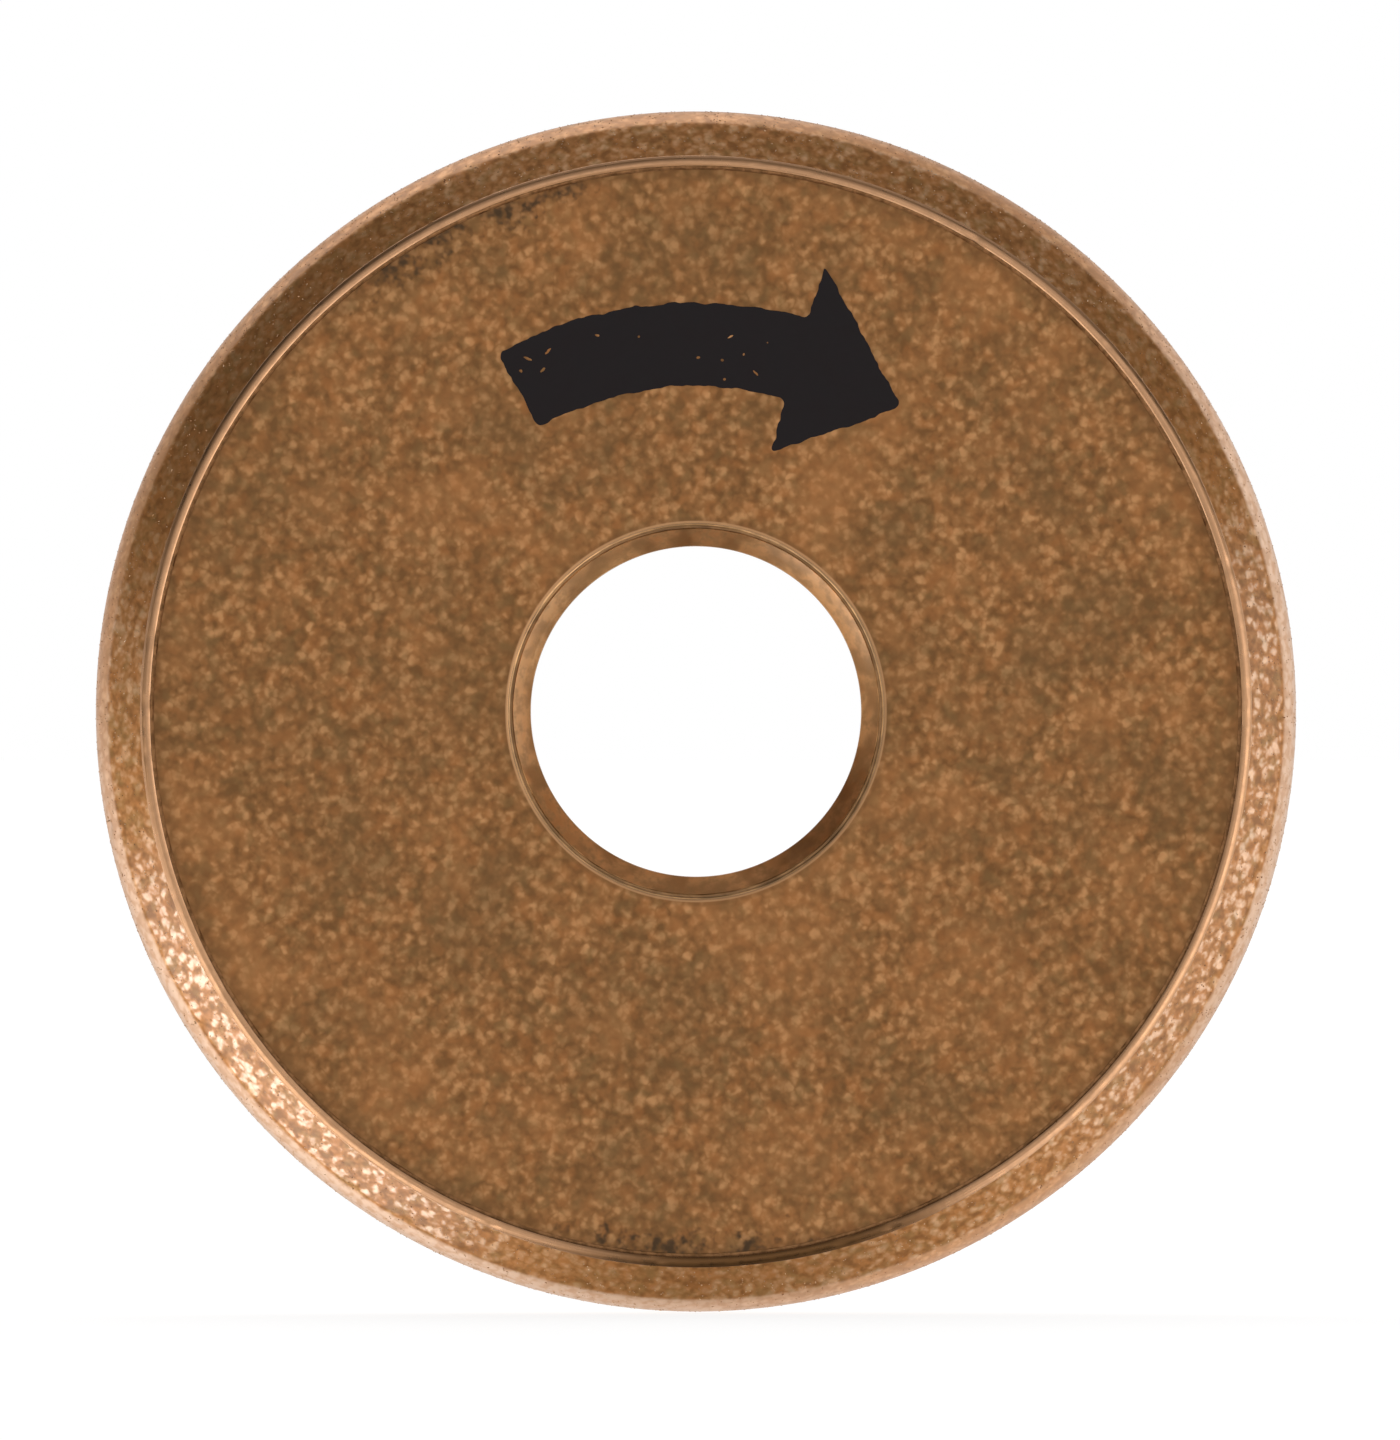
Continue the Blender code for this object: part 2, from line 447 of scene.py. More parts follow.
def crystals(name, stretch, length, seed):
    """Crystals sunk in one stretch of the rim's surface, worn off at the wheel's diameter.

    stretch takes shares from 0 to 1 and returns section points and the directions that face out.
    """
    rng = np.random.default_rng(seed)
    count = int(length / MM * TAU * BEVEL_OUTER / MM * CRYSTALS_PER_SQUARE_MM)
    place, out = stretch(rng.uniform(0.0, 1.0, count))
    turn = rng.uniform(0.0, TAU, count)
    size = rng.uniform(0.07, 0.15, count) * MM
    place = place - out * (size * rng.uniform(0.80, 1.02, count))[:, None]
    middle = [place[:, 0] * np.cos(turn), place[:, 1], place[:, 0] * np.sin(turn)]
    reach = size[:, None, None] * rng.uniform(0.7, 1.0, (count, 6, 1))
    corners = np.einsum("nij,nkj->nki", rotations(rng, count), OCTAHEDRON[None] * reach)
    corners = (corners + np.stack(middle, axis=1)[:, None]).reshape(-1, 3)
    worn = np.minimum(1.0, (RIM_OUTER - 0.001 * MM) / np.hypot(corners[:, 0], corners[:, 2]))
    corners[:, [0, 2]] *= worn[:, None]
    faces = OCTAHEDRON_FACES[None] + 6 * np.arange(count)[:, None, None]
    return mesh_object(name, corners, faces.reshape(-1, 3))


def bevel_grit(name, side, seed):
    edge = crown_circle()[3]
    inner, outer = np.array((RIM_INNER, RIM_SHOULDER)), np.array((BEVEL_OUTER, edge))
    slope = outer - inner
    length = np.linalg.norm(slope)
    flip = np.array((1.0, side))
    facing = np.array((-slope[1], slope[0])) / length * flip

    def stretch(share):
        return (inner + share[:, None] * slope) * flip, np.tile(facing, (len(share), 1))

    return crystals(name, stretch, length, seed)


def crown_grit(name, seed):
    centre, radius, half_angle, _ = crown_circle()

    def stretch(share):
        angles = np.radians(half_angle * (2.0 * share - 1.0))
        facing = np.stack([np.cos(angles), np.sin(angles)], axis=1)
        return np.array(centre) + radius * facing, facing

    return crystals(name, stretch, radius * math.radians(2.0 * half_angle), seed)


# ---------------------------------------------------------------- printed mark

MARK_RADIUS = 24.4 * MM
MARK_THICKNESS = 5.6 * MM
MARK_TAIL_ANGLE = 119.0
MARK_NECK_ANGLE = 74.0
MARK_TIP_ANGLE = 56.0
MARK_HEAD_WIDTH = 13.0 * MM
INK_THICKNESS = 0.02 * MM
INK_STEP = 0.12 * MM
BARE_SPOTS = 13
SPOT_SPACING = 0.8 * MM


def at_clock(radius, degrees):
    angle = math.radians(degrees)
    return Vector((radius * math.cos(angle), radius * math.sin(angle), 0.0))


def arrow_outline():
    """A curved rotation arrow, as a closed outline of evenly spaced points."""
    inside = MARK_RADIUS - MARK_THICKNESS / 2
    outside = MARK_RADIUS + MARK_THICKNESS / 2
    steps = 24
    sweep = MARK_NECK_ANGLE - MARK_TAIL_ANGLE
    shaft = [MARK_TAIL_ANGLE + sweep * i / steps for i in range(steps + 1)]
    corners = [at_clock(outside, degrees) for degrees in shaft]
    corners.append(at_clock(MARK_RADIUS + MARK_HEAD_WIDTH / 2, MARK_NECK_ANGLE))
    corners.append(at_clock(MARK_RADIUS, MARK_TIP_ANGLE))
    corners.append(at_clock(MARK_RADIUS - MARK_HEAD_WIDTH / 2, MARK_NECK_ANGLE))
    corners += [at_clock(inside, degrees) for degrees in reversed(shaft)]
    outline = []
    for here, following in zip(corners, corners[1:] + corners[:1]):
        count = max(1, round((following - here).length / INK_STEP))
        outline += [here.lerp(following, i / count) for i in range(count)]
    return outline


def rounded(outline, reach):
    """The outline with its corners eased, each point drawn to the mean of its neighbours."""
    count = len(outline)
    span = range(-reach, reach + 1)
    sums = [sum((outline[(i + k) % count] for k in span), Vector()) for i in range(count)]
    return [total / len(span) for total in sums]


def ragged(outline, size, reach, seed):
    """The outline with its edge wandering in and out, as ink does on a grained surface."""
    shift = Vector((seed, 0.0, 0.0))
    moved = []
    for i, point in enumerate(outline):
        before, after = outline[i - 1], outline[(i + 1) % len(outline)]
        along = (after - before).normalized()
        across = Vector((along.y, -along.x, 0.0))
        moved.append(point + across * reach * noise.noise(point / size + shift))
    return moved


def bare_spots(rng):
    """Small uneven spots and short scratches, in a few clusters, where the ink missed the metal."""
    spots = []
    middles = []
    clusters = [(rng.uniform(0.12, 0.9), rng.uniform(-0.25, 0.25)) for _ in range(4)]
    while len(spots) < BARE_SPOTS:
        along_shaft, across = rng.choice(clusters)
        along_shaft = min(max(along_shaft + rng.gauss(0.0, 0.07), 0.04), 0.96)
        across = min(max(across + rng.gauss(0.0, 0.12), -0.4), 0.4)
        degrees = MARK_TAIL_ANGLE + (MARK_NECK_ANGLE - MARK_TAIL_ANGLE) * along_shaft
        middle = at_clock(MARK_RADIUS + across * MARK_THICKNESS, degrees)
        if any((middle - other).length < SPOT_SPACING for other in middles):
            continue
        middles.append(middle)
        width = rng.uniform(0.05, 0.12) * MM
        length = width * rng.choice((1.0, 1.3, 2.0, 3.5))
        lean = rng.uniform(0.0, TAU)
        along = Vector((math.cos(lean), math.sin(lean), 0.0))
        side = Vector((-along.y, along.x, 0.0))
        turns = [TAU * k / 14 for k in range(14)]
        oval = [middle + along * length * math.cos(a) + side * width * math.sin(a) for a in turns]
        spots.append(ragged(oval, 0.16 * MM, 0.6 * width, 5.0))
    return spots


def rotation_arrow():
    """A film of ink on the front face."""
    curve = bpy.data.curves.new("rotation_arrow", "CURVE")
    curve.dimensions = "2D"
    curve.fill_mode = "BOTH"
    curve.extrude = INK_THICKNESS / 2
    edge = ragged(rounded(arrow_outline(), 4), 1.1 * MM, 0.16 * MM, 3.0)
    for outline in [ragged(edge, 0.4 * MM, 0.07 * MM, 8.0)] + bare_spots(random.Random(SEED + 5)):
        spline = curve.splines.new("POLY")
        spline.points.add(len(outline) - 1)
        for target, point in zip(spline.points, outline):
            target.co = (point.x, point.y, 0.0, 1.0)
        spline.use_cyclic_u = True
    flat = bpy.data.objects.new("flat_mark", curve)
    bpy.context.scene.collection.objects.link(flat)
    graph = bpy.context.evaluated_depsgraph_get()
    mesh = bpy.data.meshes.new_from_object(flat.evaluated_get(graph))
    film = bpy.data.objects.new("rotation_arrow", mesh)
    bpy.data.objects.remove(flat)
    bpy.context.scene.collection.objects.link(film)
    film.rotation_euler = (math.radians(90.0), 0.0, 0.0)
    film.location = (0.0, -CORE_FACE - 0.9 * INK_THICKNESS, 0.0)
    return film


# ---------------------------------------------------------------- node helpers


class Nodes:
    """Builds a node tree. A value is either a plain number or colour, or another node's output."""

    def __init__(self, tree):
        self.tree = tree

    def add(self, kind, inputs=None, **settings):
        node = self.tree.nodes.new(kind)
        for key, value in settings.items():
            setattr(node, key, value)
        for key, value in (inputs or {}).items():
            self.put(node.inputs[key], value)
        return node

    def put(self, socket, value):
        if isinstance(value, bpy.types.NodeSocket):
            self.tree.links.new(value, socket)
        else:
            socket.default_value = value

    def math(self, operation, first, second=0.0):
        node = self.add("ShaderNodeMath", {0: first, 1: second}, operation=operation)
        return node.outputs[0]

    def remap(self, value, low, high, to_low=0.0, to_high=1.0):
        """A smooth step from low to high."""
        inputs = {
            "Value": value,
            "From Min": low,
            "From Max": high,
            "To Min": to_low,
            "To Max": to_high,
        }
        node = self.add("ShaderNodeMapRange", inputs, interpolation_type="SMOOTHSTEP")
        return node.outputs["Result"]

    def blend(self, factor, first, second):
        """Between two numbers."""
        return self.add("ShaderNodeMix", {0: factor, 2: first, 3: second}).outputs[0]

    def mix(self, factor, first, second):
        """Between two colours."""
        node = self.add("ShaderNodeMix", {0: factor, 6: first, 7: second}, data_type="RGBA")
        return node.outputs[2]

    def ramp(self, factor, stops):
        node = self.add("ShaderNodeValToRGB", {0: factor})
        points = node.color_ramp.elements
        while len(points) < len(stops):
            points.new(0.5)
        for point, (position, colour) in zip(points, stops):
            point.position = position
            point.color = (*colour, 1.0)
        return node.outputs["Color"]

    def noise(self, where, size, detail=2.0, roughness=0.5, distortion=0.0):
        inputs = {
            "Vector": where,
            "Scale": 1.0 / size,
            "Detail": detail,
            "Roughness": roughness,
            "Distortion": distortion,
        }
        return self.add("ShaderNodeTexNoise", inputs).outputs[0]

    def cells(self, where, size, output):
        inputs = {"Vector": where, "Scale": 1.0 / size}
        return self.add("ShaderNodeTexVoronoi", inputs).outputs[output]

    def object_point(self):
        return self.add("ShaderNodeTexCoord").outputs["Object"]

    def skewed(self, where):
        """A place as seen in axes that are turned by SKEW."""
        node = self.add(
            "ShaderNodeVectorRotate", {"Vector": where, "Rotation": SKEW}, rotation_type="EULER_XYZ"
        )
        return node.outputs[0]

    def wandering(self, where, size, reach):
        """A place moved by up to about half of reach, this way and that."""
        inputs = {"Vector": where, "Scale": 1.0 / size, "Detail": 1.0}
        wander = self.add("ShaderNodeTexNoise", inputs).outputs["Color"]
        inputs = {0: wander, 1: (reach, reach, reach), 2: where}
        return self.add("ShaderNodeVectorMath", inputs, operation="MULTIPLY_ADD").outputs[0]

    def split(self, vector):
        """The three parts of a vector."""
        return self.add("ShaderNodeSeparateXYZ", {0: vector}).outputs

    def axis_radius(self, where):
        """The distance from the wheel's axis."""
        inputs = {0: where, 1: (1.0, 0.0, 1.0)}
        flat = self.add("ShaderNodeVectorMath", inputs, operation="MULTIPLY")
        node = self.add("ShaderNodeVectorMath", {0: flat.outputs[0]}, operation="LENGTH")
        return node.outputs["Value"]

    def clock_cosine(self, where, degrees):
        """How near a place or direction is to one clock angle, as a cosine."""
        angle = math.radians(degrees)
        parts = self.split(where)
        right = self.math("MULTIPLY", parts["X"], math.cos(angle))
        up = self.math("MULTIPLY", parts["Z"], math.sin(angle))
        return self.math("DIVIDE", self.math("ADD", right, up), self.axis_radius(where))

    def clock_sector(self, where, degrees, half_width, soft_edge):
        """1 in one sector of the clock and 0 outside it."""
        low = math.cos(math.radians(half_width + soft_edge))
        high = math.cos(math.radians(max(half_width - soft_edge, 0.0)))
        return self.remap(self.clock_cosine(where, degrees), low, high)

    def bump(self, height, distance, normal=None):
        inputs = {"Height": height, "Distance": distance}
        if normal is not None:
            inputs["Normal"] = normal
        return self.add("ShaderNodeBump", inputs).outputs["Normal"]


def new_material(name):
    material = bpy.data.materials.new(name)
    material.use_nodes = True
    nodes = Nodes(material.node_tree)
    return material, nodes, material.node_tree.nodes["Principled BSDF"].inputs


# ---------------------------------------------------------------- metals


def mottle(nodes, skewed, size):
    """The grains of a sintered bronze, from 0 in the dark ones to 1 in the bright ones."""
    total = 0.0
    for share_of_size, weight in ((2.8, 0.09), (1.0, 0.47), (0.5, 0.20)):
        layer = nodes.noise(skewed, share_of_size * size, 0.5, 0.5)
        total = nodes.math("ADD", total, nodes.math("MULTIPLY", layer, weight))
    uneven = nodes.wandering(skewed, 0.7 * size, 0.9 * size)
    grains = nodes.remap(nodes.cells(uneven, 1.0 * size, "Distance"), 0.85, 0.10)
    total = nodes.math("ADD", total, nodes.math("MULTIPLY", grains, 0.24))
    return nodes.add("ShaderNodeMapRange", {0: total, 1: 0.31, 2: 0.71}).outputs[0]


def tinted(nodes, skewed, colour, size, orange, olive, amount):
    """The colour pushed towards orange in places and towards olive in others."""
    hue = nodes.noise(skewed, size, 1.0, 0.5)
    warm = nodes.remap(hue, 0.50, 0.74, 0.0, amount)
    cool = nodes.remap(hue, 0.50, 0.26, 0.0, amount)
    return nodes.mix(cool, nodes.mix(warm, colour, orange), olive)


# The colour that darkens the turned pieces in their dark sector, and that paints shade into the
# bush's groove
DARKENING_COLOUR = (0.125, 0.057, 0.018, 1.0)

# Where dirt has stayed in the corner by the rim: (clock angle, half width, how thickly)
DIRT_PLACES = [(116.0, 14.0, 1.0), (-90.0, 14.0, 1.0), (-55.0, 12.0, 0.62)]
DIRT_COLOUR = (0.060, 0.034, 0.014, 1.0)


def dirt_specks(nodes, where, skewed, blotch):
    """Dirt along parts of the face's edge, soft and thickest between the bright grains."""
    places = 0.0
    for degrees, half, thickness in DIRT_PLACES:
        sector = nodes.math("MULTIPLY", nodes.clock_sector(where, degrees, half, 8.0), thickness)
        places = nodes.math("MAXIMUM", places, sector)
    near_rim = nodes.remap(nodes.axis_radius(where), GRIME_START, GRIME_FULL)
    amount = nodes.math("MULTIPLY", near_rim, places)
    specks = nodes.noise(skewed, 0.50 * MM, 1.0, 0.5)
    clumps = nodes.noise(skewed, 2.0 * MM, 1.0, 0.5)
    height = nodes.blend(0.5, specks, clumps)
    threshold = nodes.blend(amount, 0.80, 0.47)
    dirt = nodes.remap(nodes.math("SUBTRACT", height, threshold), -0.06, 0.15)
    return nodes.math("MULTIPLY", dirt, nodes.remap(blotch, 0.80, 0.20, 0.35, 1.0))


def core_bronze():
    """Sintered bronze, burnished round its bore, with dirt specks along parts of the face's edge
    and painted shade in a band just inside the crest ring.
    """
    material, nodes, shader = new_material("core_bronze_look")
    where = nodes.object_point()
    skewed = nodes.skewed(where)
    radius = nodes.axis_radius(where)
    blotch = mottle(nodes, skewed, 0.73 * MM)
    colour = nodes.ramp(
        blotch,
        [
            (0.0, (0.222, 0.101, 0.035)),
            (0.5, (0.350, 0.160, 0.057)),
            (1.0, (0.61, 0.31, 0.127)),
        ],
    )
    orange, olive = (0.46, 0.178, 0.056, 1.0), (0.27, 0.160, 0.062, 1.0)
    colour = tinted(nodes, skewed, colour, 1.0 * MM, orange, olive, 0.42)
    for size in (9.0 * MM, 3.6 * MM):
        patches = nodes.noise(skewed, size, 2.0, 0.5)
        dark = nodes.remap(patches, 0.52, 0.30, 0.0, 0.34)
        colour = nodes.mix(dark, colour, (0.205, 0.112, 0.044, 1.0))
        light = nodes.remap(patches, 0.50, 0.72, 0.0, 0.30)
        colour = nodes.mix(light, colour, (0.50, 0.220, 0.078, 1.0))
    # Painted shade: the face is painted darker in a band just inside the crest ring, where the
    # crest shades it.
    near_rim = nodes.remap(radius, 0.87 * RIM_OUTER, 0.905 * RIM_OUTER, 0.0, 0.50)
    colour = nodes.mix(near_rim, colour, (0.17, 0.080, 0.030, 1.0))
    past_edge = nodes.remap(radius, CORE_BORE + 0.55 * MM, CORE_BORE + 0.30 * MM, 0.0, 0.35)
    colour = nodes.mix(past_edge, colour, (0.19, 0.090, 0.034, 1.0))
    burnished = nodes.remap(radius, CORE_BORE + 0.22 * MM, CORE_BORE + 0.12 * MM)
    colour = nodes.mix(nodes.math("MULTIPLY", burnished, 0.8), colour, (0.58, 0.315, 0.150, 1.0))
    dirt = dirt_specks(nodes, where, skewed, blotch)
    covered = nodes.math("MULTIPLY", dirt, 0.90)
    nodes.put(shader["Base Color"], nodes.mix(covered, colour, DIRT_COLOUR))
    nodes.put(shader["Metallic"], nodes.remap(dirt, 0.0, 1.0, 0.9, 0.6))
    roughness = nodes.remap(blotch, 0.0, 1.0, 0.54, 0.42)
    roughness = nodes.blend(burnished, roughness, 0.32)
    nodes.put(shader["Roughness"], nodes.blend(dirt, roughness, 0.65))
    bumpy = nodes.bump(blotch, 0.006 * MM)
    fine = nodes.noise(skewed, 0.10 * MM, 2.0, 0.5)
    nodes.put(shader["Normal"], nodes.bump(fine, 0.002 * MM, bumpy))
    return material


# Painted highlight: where the crown's colour is painted palest, in its most brightly lit sectors:
# (clock angle, half width)
CROWN_HIGHLIGHT_PLACES = [(-130.0, 36.0), (-2.0, 24.0)]


def rim_bond():
    """The bond is mottled and glinting on the bevels, paler across the crown, and painted paler
    still as a painted highlight where the crown is most brightly lit.
    """
    material, nodes, shader = new_material("rim_bond_look")
    where = nodes.object_point()
    skewed = nodes.skewed(where)
    blotch = mottle(nodes, skewed, 0.68 * MM)
    colour = nodes.ramp(
        blotch,
        [
            (0.0, (0.34, 0.142, 0.040)),
            (0.5, (0.56, 0.250, 0.079)),
            (1.0, (0.90, 0.49, 0.215)),
        ],
    )
    orange, olive = (0.66, 0.265, 0.075, 1.0), (0.42, 0.25, 0.085, 1.0)
    colour = tinted(nodes, skewed, colour, 1.0 * MM, orange, olive, 0.4)
    crown = nodes.remap(nodes.axis_radius(where), 0.9755 * RIM_OUTER, 0.981 * RIM_OUTER)
    colour = nodes.mix(nodes.math("MULTIPLY", crown, 0.6), colour, (0.70, 0.345, 0.135, 1.0))
    # Painted highlight: the crown is painted paler, following the grain, in the sectors where the
    # lamps light it most.
    painted_highlight = 0.0
    for degrees, half in CROWN_HIGHLIGHT_PLACES:
        painted_highlight = nodes.math("MAXIMUM", painted_highlight, nodes.clock_sector(where, degrees, half, 30.0))
    painted_highlight = nodes.math("MULTIPLY", painted_highlight, nodes.remap(blotch, 0.1, 0.6, 0.45, 0.85))
    painted_highlight = nodes.math("MULTIPLY", painted_highlight, crown)
    nodes.put(shader["Base Color"], nodes.mix(painted_highlight, colour, (0.75, 0.51, 0.35, 1.0)))
    nodes.put(shader["Metallic"], 0.97)
    nodes.put(shader["Roughness"], nodes.remap(blotch, 0.0, 1.0, 0.52, 0.42))
    glossy = nodes.remap(blotch, 0.38, 0.85, 0.20, 1.0)
    nodes.put(shader["Coat Weight"], nodes.blend(crown, glossy, 0.28))
    nodes.put(shader["Coat IOR"], 2.1)
    nodes.put(shader["Coat Roughness"], 0.14)
    bumpy = nodes.bump(blotch, nodes.blend(crown, 0.012 * MM, 0.003 * MM))
    fine = nodes.noise(skewed, 0.14 * MM, 2.0, 0.5)
    nodes.put(shader["Normal"], nodes.bump(fine, 0.003 * MM, bumpy))
    return material


def turned_bronze(name, bright, dark, roughness, coat, mark_size, mark_depth, dark_sector):
    """Bronze turned on a lathe: bright on its crests, dull in its fine tool marks.

    dark_sector is the sector painted darker: its clock angle, its half width and how dark it is,
    from 0 to 1.
    """
    material, nodes, shader = new_material(name)
    where = nodes.object_point()
    patches = nodes.noise(nodes.skewed(where), 0.8 * MM, 2.0, 0.6)
    radius = nodes.axis_radius(where)
    parts = nodes.split(where)
    across = nodes.math("ADD", radius, nodes.math("MULTIPLY", parts["Y"], 0.83))
    streaks = {
        "X": nodes.math("DIVIDE", across, mark_size),
        "Y": nodes.math("MULTIPLY", nodes.math("DIVIDE", parts["X"], radius), 6.0),
        "Z": nodes.math("MULTIPLY", nodes.math("DIVIDE", parts["Z"], radius), 6.0),
    }
    lines = nodes.noise(nodes.add("ShaderNodeCombineXYZ", streaks).outputs[0], 1.0, 1.0, 0.5)
    colour = nodes.mix(nodes.remap(patches, 0.30, 0.60, 0.35, 1.0), dark, bright)
    colour = nodes.mix(nodes.remap(lines, 0.58, 0.36, 0.0, 0.8), colour, dark)
    # One sector is painted darker: painted shade on the bush's chamfer, and a darker stretch near
    # the bottom of the crest.
    in_dark_sector = nodes.math("MULTIPLY", nodes.clock_sector(where, dark_sector[0], dark_sector[1], 10.0), dark_sector[2])
    # Painted shade: the bush's groove is a recess, and the shade in it is painted as darker colour.
    past_mouth = nodes.remap(radius, BUSH_MOUTH, BUSH_MOUTH + 0.06 * MM)
    before_lip = nodes.remap(radius, LIP_INNER, LIP_INNER - 0.05 * MM)
    in_groove = nodes.math("MULTIPLY", past_mouth, before_lip)
    darkening = nodes.math("MAXIMUM", in_dark_sector, nodes.math("MULTIPLY", in_groove, 0.6))
    nodes.put(shader["Base Color"], nodes.mix(darkening, colour, DARKENING_COLOUR))
    nodes.put(shader["Metallic"], 1.0)
    uneven = nodes.remap(patches, 0.3, 0.7, roughness + 0.08, roughness - 0.04)
    nodes.put(shader["Roughness"], uneven)
    undarkened = nodes.math("SUBTRACT", 1.0, darkening)
    nodes.put(shader["Coat Weight"], nodes.math("MULTIPLY", undarkened, coat))
    nodes.put(shader["Coat IOR"], 1.9)
    nodes.put(shader["Coat Roughness"], 0.16)
    nodes.put(shader["Normal"], nodes.bump(lines, mark_depth))
    return material


def dark_braze():
    material, nodes, shader = new_material("braze_look")
    where = nodes.object_point()
    patches = nodes.noise(where, 0.5 * MM, 2.0, 0.6)
    dark, bright = (0.20, 0.095, 0.036, 1.0), (0.38, 0.19, 0.078, 1.0)
    colour = nodes.mix(nodes.remap(patches, 0.3, 0.7), dark, bright)
    nodes.put(shader["Base Color"], colour)
    nodes.put(shader["Metallic"], 0.85)
    nodes.put(shader["Roughness"], 0.55)
    nodes.put(shader["Normal"], nodes.bump(patches, 0.02 * MM))
    return material


def diamond():
    material, nodes, shader = new_material("diamond_look")
    shade = nodes.cells(nodes.object_point(), 0.5 * MM, "Color")
    grey = nodes.split(shade)[0]
    colour = nodes.ramp(
        grey,
        [
            (0.0, (0.34, 0.16, 0.06)),
            (0.5, (0.46, 0.25, 0.11)),
            (1.0, (0.66, 0.44, 0.26)),
        ],
    )
    nodes.put(shader["Base Color"], colour)
    nodes.put(shader["Metallic"], 0.85)
    nodes.put(shader["IOR"], 2.4)
    nodes.put(shader["Roughness"], nodes.remap(grey, 0.0, 1.0, 0.60, 0.42))
    return material


def ink():
    material, nodes, shader = new_material("ink_look")
    where = nodes.object_point()
    patches = nodes.noise(where, 1.6 * MM, 3.0, 0.6)
    colour = nodes.mix(patches, (0.0050, 0.0034, 0.0040, 1.0), (0.0125, 0.0082, 0.0085, 1.0))
    nodes.put(shader["Base Color"], colour)
    nodes.put(shader["Roughness"], nodes.remap(patches, 0.3, 0.7, 0.45, 0.62))
    nodes.put(shader["Specular IOR Level"], 0.2)
    nodes.put(shader["Normal"], nodes.bump(nodes.noise(where, 0.3 * MM, 2.0, 0.6), 0.006 * MM))
    return material


# ---------------------------------------------------------------- stage

# Soft lamps round the wheel: (clock angle, half width, nearest depth, farthest depth, brightness).
# A direction's depth goes from -1 behind the camera to 1 straight behind the wheel.
SOFT_LAMPS = [
    (-21.0, 38.0, -0.90, 0.30, 0.90),
    (-62.0, 14.0, -0.55, 0.40, 0.66),
    (-26.0, 34.0, -0.90, -0.45, 0.50),
    (4.0, 30.0, 0.38, 0.60, 0.64),
    (112.0, 28.0, 0.34, 0.70, 0.76),
    (28.0, 12.0, 0.38, 0.60, 0.36),
    (-138.0, 28.0, -0.88, 0.35, 0.86),
    (-138.0, 24.0, -0.90, -0.35, 0.80),
    (-140.0, 30.0, 0.38, 0.60, 1.05),
    (-90.0, 14.0, -0.50, 0.40, 0.20),
    (182.0, 12.0, -0.50, 0.40, 0.84),
    (80.0, 34.0, -0.50, 0.40, 0.44),
]

# Strip lamps in the wheel's own plane, where the soft lamps leave a gap: the same numbers
STRIP_LAMPS = [
    (-15.0, 29.0, -0.07, 0.07, 1.60),
    (-139.0, 22.0, -0.05, 0.05, 5.00),
]
GAP_DEPTH = 0.12
GAP_LEVEL = 0.25
CLOCK_SOFTNESS = 9.0
DEPTH_SOFTNESS = 0.04

# The room's own brightness in each zone, and the depths over which the next zone takes over
FRONT_LEVEL = 0.79
SIDE_LEVEL = 0.06
BEHIND_LEVEL = 0.90
FRONT_TO_SIDE = (-0.88, -0.60)
SIDE_TO_BEHIND = (0.20, 0.46)
BEHIND_TO_FRONT = (0.80, 0.92)

# Dim parts of the room: (clock angle, half width, soft edge, share of the light left)
LOWER_SHADOW = (-83.0, 14.0, 9.0, 0.25)
LEFT_SHADOW = (150.0, 92.0, 28.0, 0.46)
UPPER_SHADOW = (148.0, 26.0, 12.0, 0.66)
RIGHT_SHADOW = (60.0, 12.0, 9.0, 0.70)


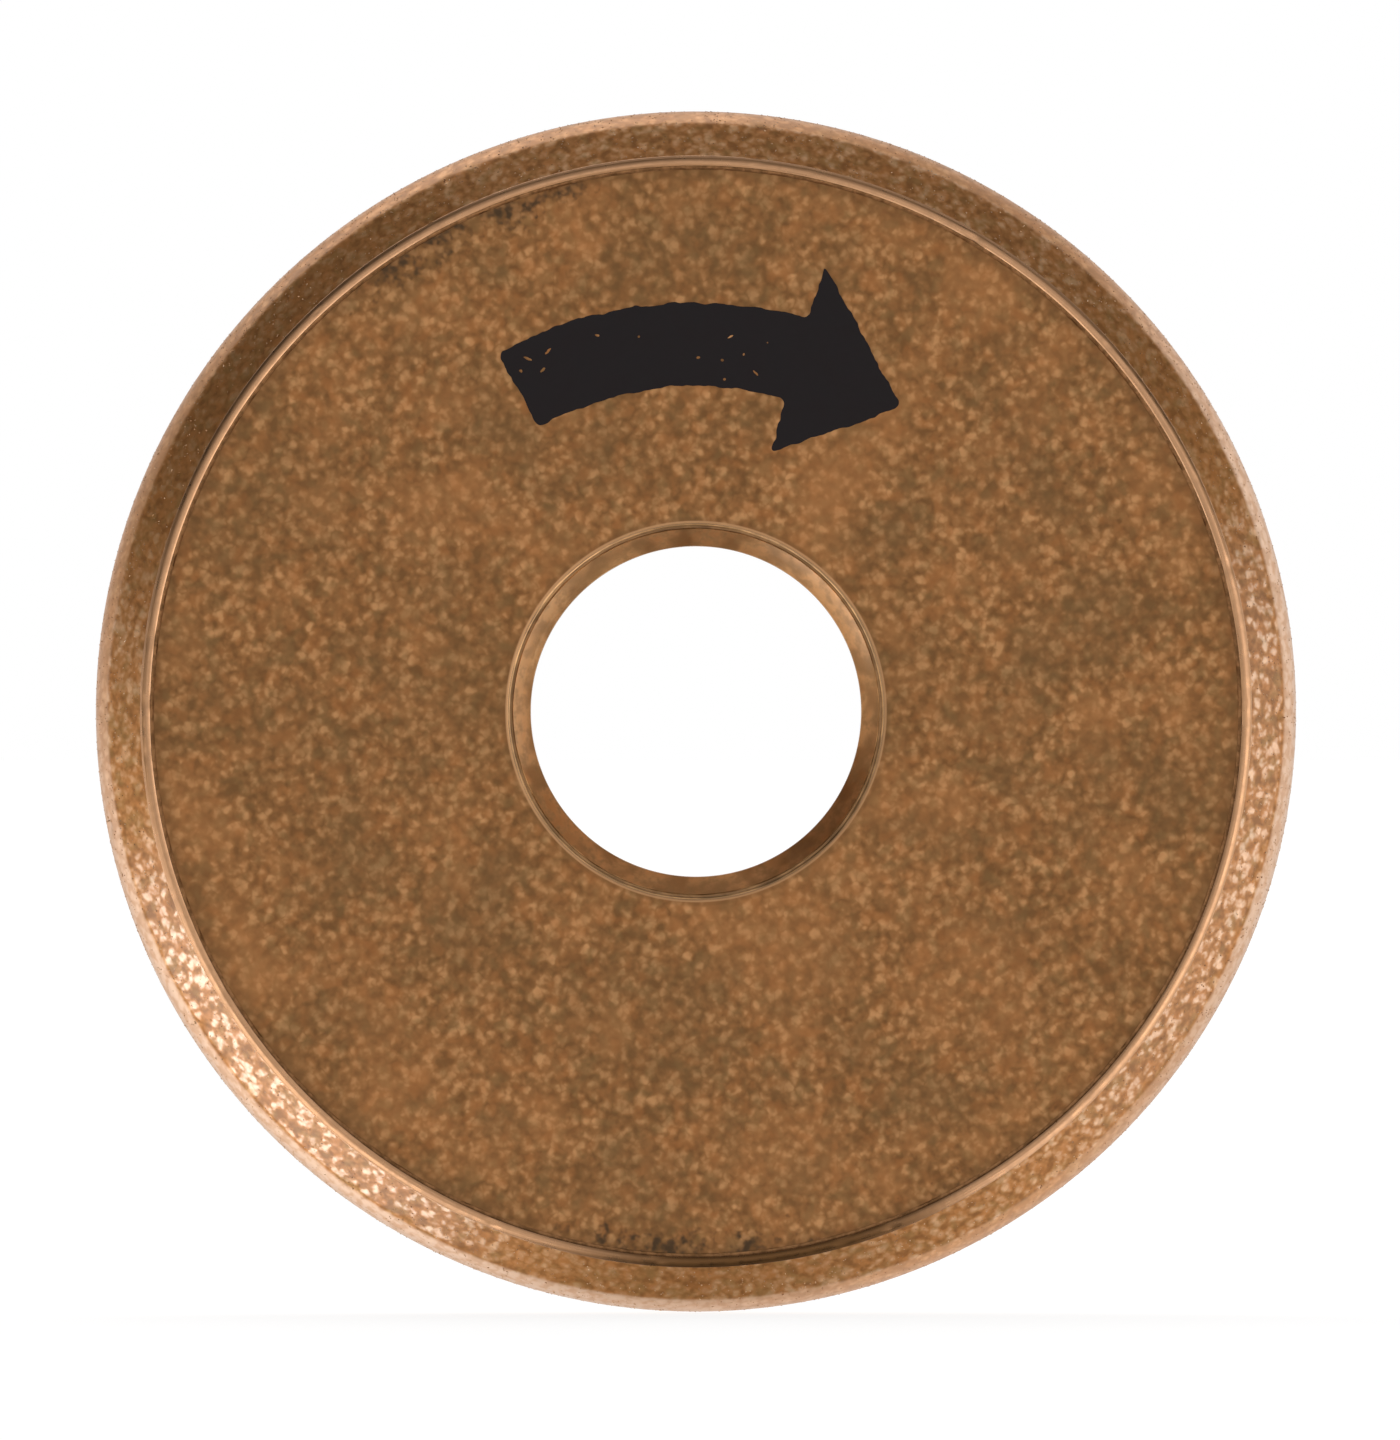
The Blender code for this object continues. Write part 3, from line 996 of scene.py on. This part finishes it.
def studio():
    """A white room for the camera. For everything else, a soft room with lamps round the wheel."""
    world = bpy.data.worlds.new("studio")
    world.use_nodes = True
    bpy.context.scene.world = world
    nodes = Nodes(world.node_tree)
    direction = nodes.add("ShaderNodeTexCoord").outputs["Generated"]
    depth = nodes.split(direction)["Y"]

    def shadowed(level, degrees, half_width, soft_edge, left):
        shadow = nodes.clock_sector(direction, degrees, half_width, soft_edge)
        return nodes.math("MULTIPLY", level, nodes.blend(shadow, 1.0, left))

    def lamps(places):
        light = 0.0
        for degrees, half_width, nearest, farthest, brightness in places:
            lamp = nodes.clock_sector(direction, degrees, half_width, CLOCK_SOFTNESS)
            past_near = nodes.remap(depth, nearest - DEPTH_SOFTNESS, nearest + DEPTH_SOFTNESS)
            before_far = nodes.remap(depth, farthest + DEPTH_SOFTNESS, farthest - DEPTH_SOFTNESS)
            lamp = nodes.math("MULTIPLY", lamp, nodes.math("MULTIPLY", past_near, before_far))
            light = nodes.math("ADD", light, nodes.math("MULTIPLY", lamp, brightness))
        return light

    leaving_axis = nodes.remap(depth, -0.995, -0.93)
    front = shadowed(shadowed(FRONT_LEVEL, *LOWER_SHADOW), *LEFT_SHADOW)
    front = nodes.blend(leaving_axis, FRONT_LEVEL, front)
    level = nodes.blend(nodes.remap(depth, *FRONT_TO_SIDE), front, SIDE_LEVEL)
    behind = shadowed(shadowed(BEHIND_LEVEL, *UPPER_SHADOW), *RIGHT_SHADOW)
    level = nodes.blend(nodes.remap(depth, *SIDE_TO_BEHIND), level, behind)
    level = nodes.blend(nodes.remap(depth, *BEHIND_TO_FRONT), level, FRONT_LEVEL)
    level = nodes.math("ADD", level, lamps(SOFT_LAMPS))
    off_plane = nodes.math("ABSOLUTE", depth)
    out_of_gap = nodes.remap(off_plane, GAP_DEPTH, GAP_DEPTH + 2 * DEPTH_SOFTNESS, GAP_LEVEL, 1.0)
    level = nodes.math("ADD", nodes.math("MULTIPLY", level, out_of_gap), lamps(STRIP_LAMPS))
    camera_ray = nodes.add("ShaderNodeLightPath").outputs["Is Camera Ray"]
    level = nodes.blend(camera_ray, level, 1.0)
    nodes.put(world.node_tree.nodes["Background"].inputs["Color"], level)


def pale_floor():
    bpy.ops.mesh.primitive_plane_add(size=60.0, location=(0.0, 0.0, cad_bounds[0].z - 0.01 * MM))
    floor = bpy.context.object
    floor.name = "floor"
    floor.visible_glossy = False
    floor.visible_shadow = False
    material, nodes, shader = new_material("pale_floor")
    nodes.put(shader["Base Color"], (0.20, 0.20, 0.20, 1.0))
    nodes.put(shader["Roughness"], 0.9)
    nodes.put(shader["Emission Color"], (1.0, 1.0, 1.0, 1.0))
    nodes.put(shader["Emission Strength"], 0.87)
    floor.data.materials.append(material)


# The wheel's diameter as a share of the picture's height, and how far its centre is off the middle
SHARE_OF_HEIGHT = 0.8345
OFF_CENTRE = (0.0028, -0.0059)
LENS_MM = 1000.0
SENSOR_MM = 36.0


def straight_on_camera():
    data = bpy.data.cameras.new("camera")
    data.lens = LENS_MM
    data.sensor_width = SENSOR_MM
    data.shift_x, data.shift_y = OFF_CENTRE
    camera = bpy.data.objects.new("camera", data)
    bpy.context.scene.collection.objects.link(camera)
    distance = 2.0 * RIM_OUTER * LENS_MM / SENSOR_MM / SHARE_OF_HEIGHT
    camera.location = (0.0, -distance, 0.0)
    camera.rotation_euler = (math.radians(90.0), 0.0, 0.0)
    bpy.context.scene.camera = camera


# ---------------------------------------------------------------- the wheel


def finish_piece(obj, body, slot, material, *nodes):
    obj.data.materials.clear()
    obj.data.materials.append(material)
    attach(obj, body)
    if nodes:
        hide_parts(*nodes)


def dress_wheel():
    crest_colours = (0.67, 0.345, 0.157, 1.0), (0.54, 0.27, 0.117, 1.0)
    crest_marks = 0.12 * MM, 0.004 * MM
    # The crest is painted darker in a sector near the bottom.
    crest_dark_sector = (-82.0, 15.0, 0.92)
    crest = turned_bronze("crest_look", *crest_colours, 0.30, 0.5, *crest_marks, crest_dark_sector)
    bush_colours = (0.74, 0.410, 0.175, 1.0), (0.38, 0.205, 0.080, 1.0)
    bush_marks = 0.24 * MM, 0.07 * MM
    # Painted shade: the bush's chamfer is painted darker at the lower right, where little light
    # reaches it.
    bush_painted_shade = (-46.0, 20.0, 0.42)
    bush = turned_bronze("bush_look", *bush_colours, 0.36, 0.4, *bush_marks, bush_painted_shade)
    grit = diamond()
    finish_piece(core_body(), "wheel", "core_bronze", core_bronze(), "core_disc")
    finish_piece(braze_fillet(), "wheel", "braze", dark_braze(), "braze_seam")
    finish_piece(crest_ring(), "wheel", "polished_bronze", crest, "backing_ring")
    finish_piece(abrasive_rim(), "wheel", "diamond_bond", rim_bond(), "diamond_rim")
    finish_piece(bore_bush(), "bush", "bush_bronze", bush, "reducing_bush")
    finish_piece(bevel_grit("grit_front_bevel", -1.0, SEED + 11), "wheel", "diamond_grit", grit)
    finish_piece(bevel_grit("grit_back_bevel", 1.0, SEED + 12), "wheel", "diamond_grit", grit)
    finish_piece(crown_grit("grit_crown", SEED + 13), "wheel", "diamond_grit", grit)
    finish_piece(rotation_arrow(), "wheel", "marking_ink", ink())


dress_wheel()
studio()
pale_floor()
straight_on_camera()
bpy.context.scene.view_settings.view_transform = "Standard"
